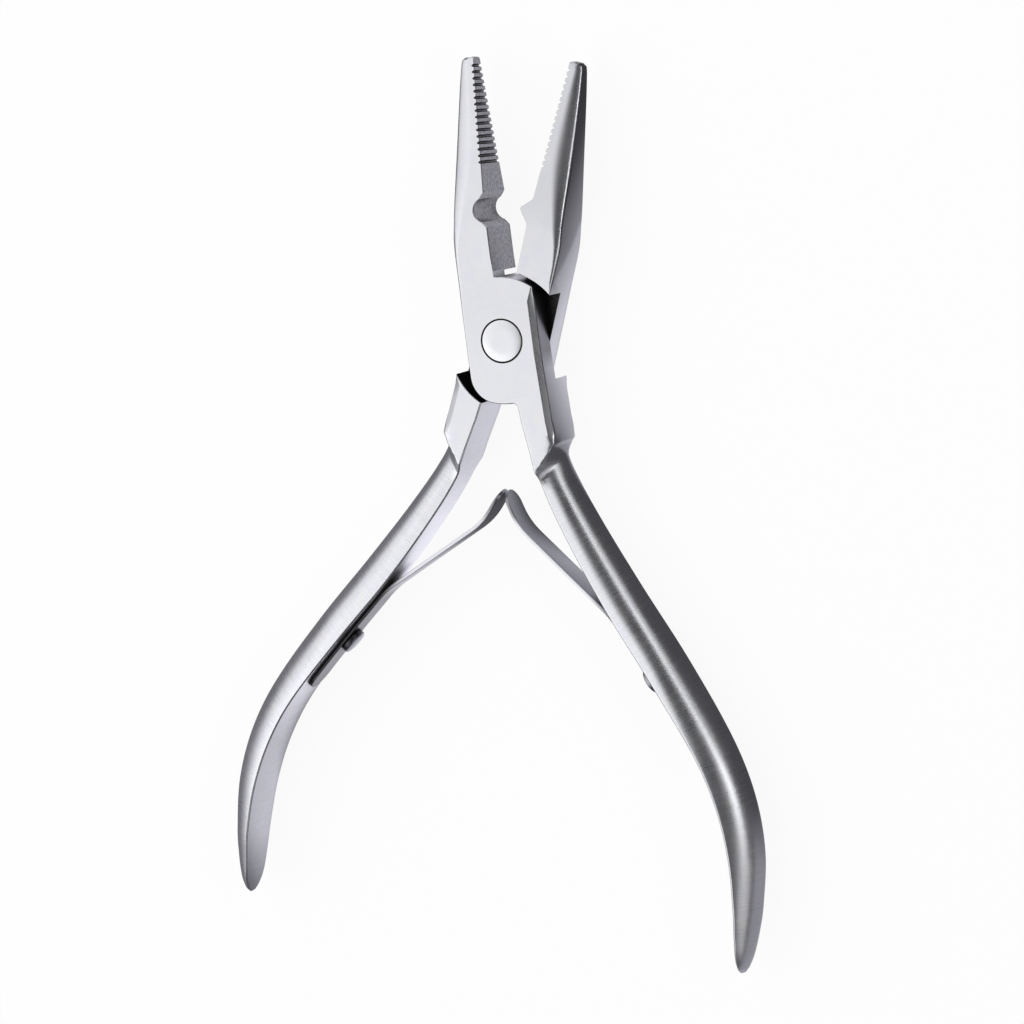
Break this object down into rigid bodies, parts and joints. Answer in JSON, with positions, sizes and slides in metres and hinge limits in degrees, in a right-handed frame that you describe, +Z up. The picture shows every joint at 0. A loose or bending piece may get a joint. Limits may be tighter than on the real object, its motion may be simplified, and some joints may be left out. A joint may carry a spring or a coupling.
{
  "type": "crimping pliers",
  "caption": "Slim lap-jointed crimping pliers with grooved jaws, a half-round nest and its tooth, bowed handles and crossed leaf springs.",
  "frame": {"origin": "on the pivot rivet's axis, in the flat plane that the pliers lie on", "axes": "+Y along the jaws, away from the handles; +Z up through the joint, from the rest face to the front; the halves are drawn sprung open"},
  "size_m": [0.0894, 0.137, 0.0095],
  "materials": {
    "forged_steel": "satin, brushed along the handles",
    "rivet_steel": "fine satin",
    "spring_steel": "rolled strip, satin"
  },
  "bodies": {
    "front": {"front_half": "forged_steel", "pivot_rivet": "rivet_steel", "right_spring": "spring_steel", "right_spring_rivet": "rivet_steel"},
    "rear": {"rear_half": "forged_steel", "left_spring": "spring_steel", "left_spring_rivet": "rivet_steel"}
  },
  "joints": [
    {"name": "pivot", "type": "hinge", "parent": "front", "child": "rear", "pos_m": [0, 0, 0], "axis": [0, 0, 1], "range_deg": [-5, 20.5], "stiffness_Nm_per_rad": 0.8, "deforming": ["right_spring", "left_spring"]}
  ]
}
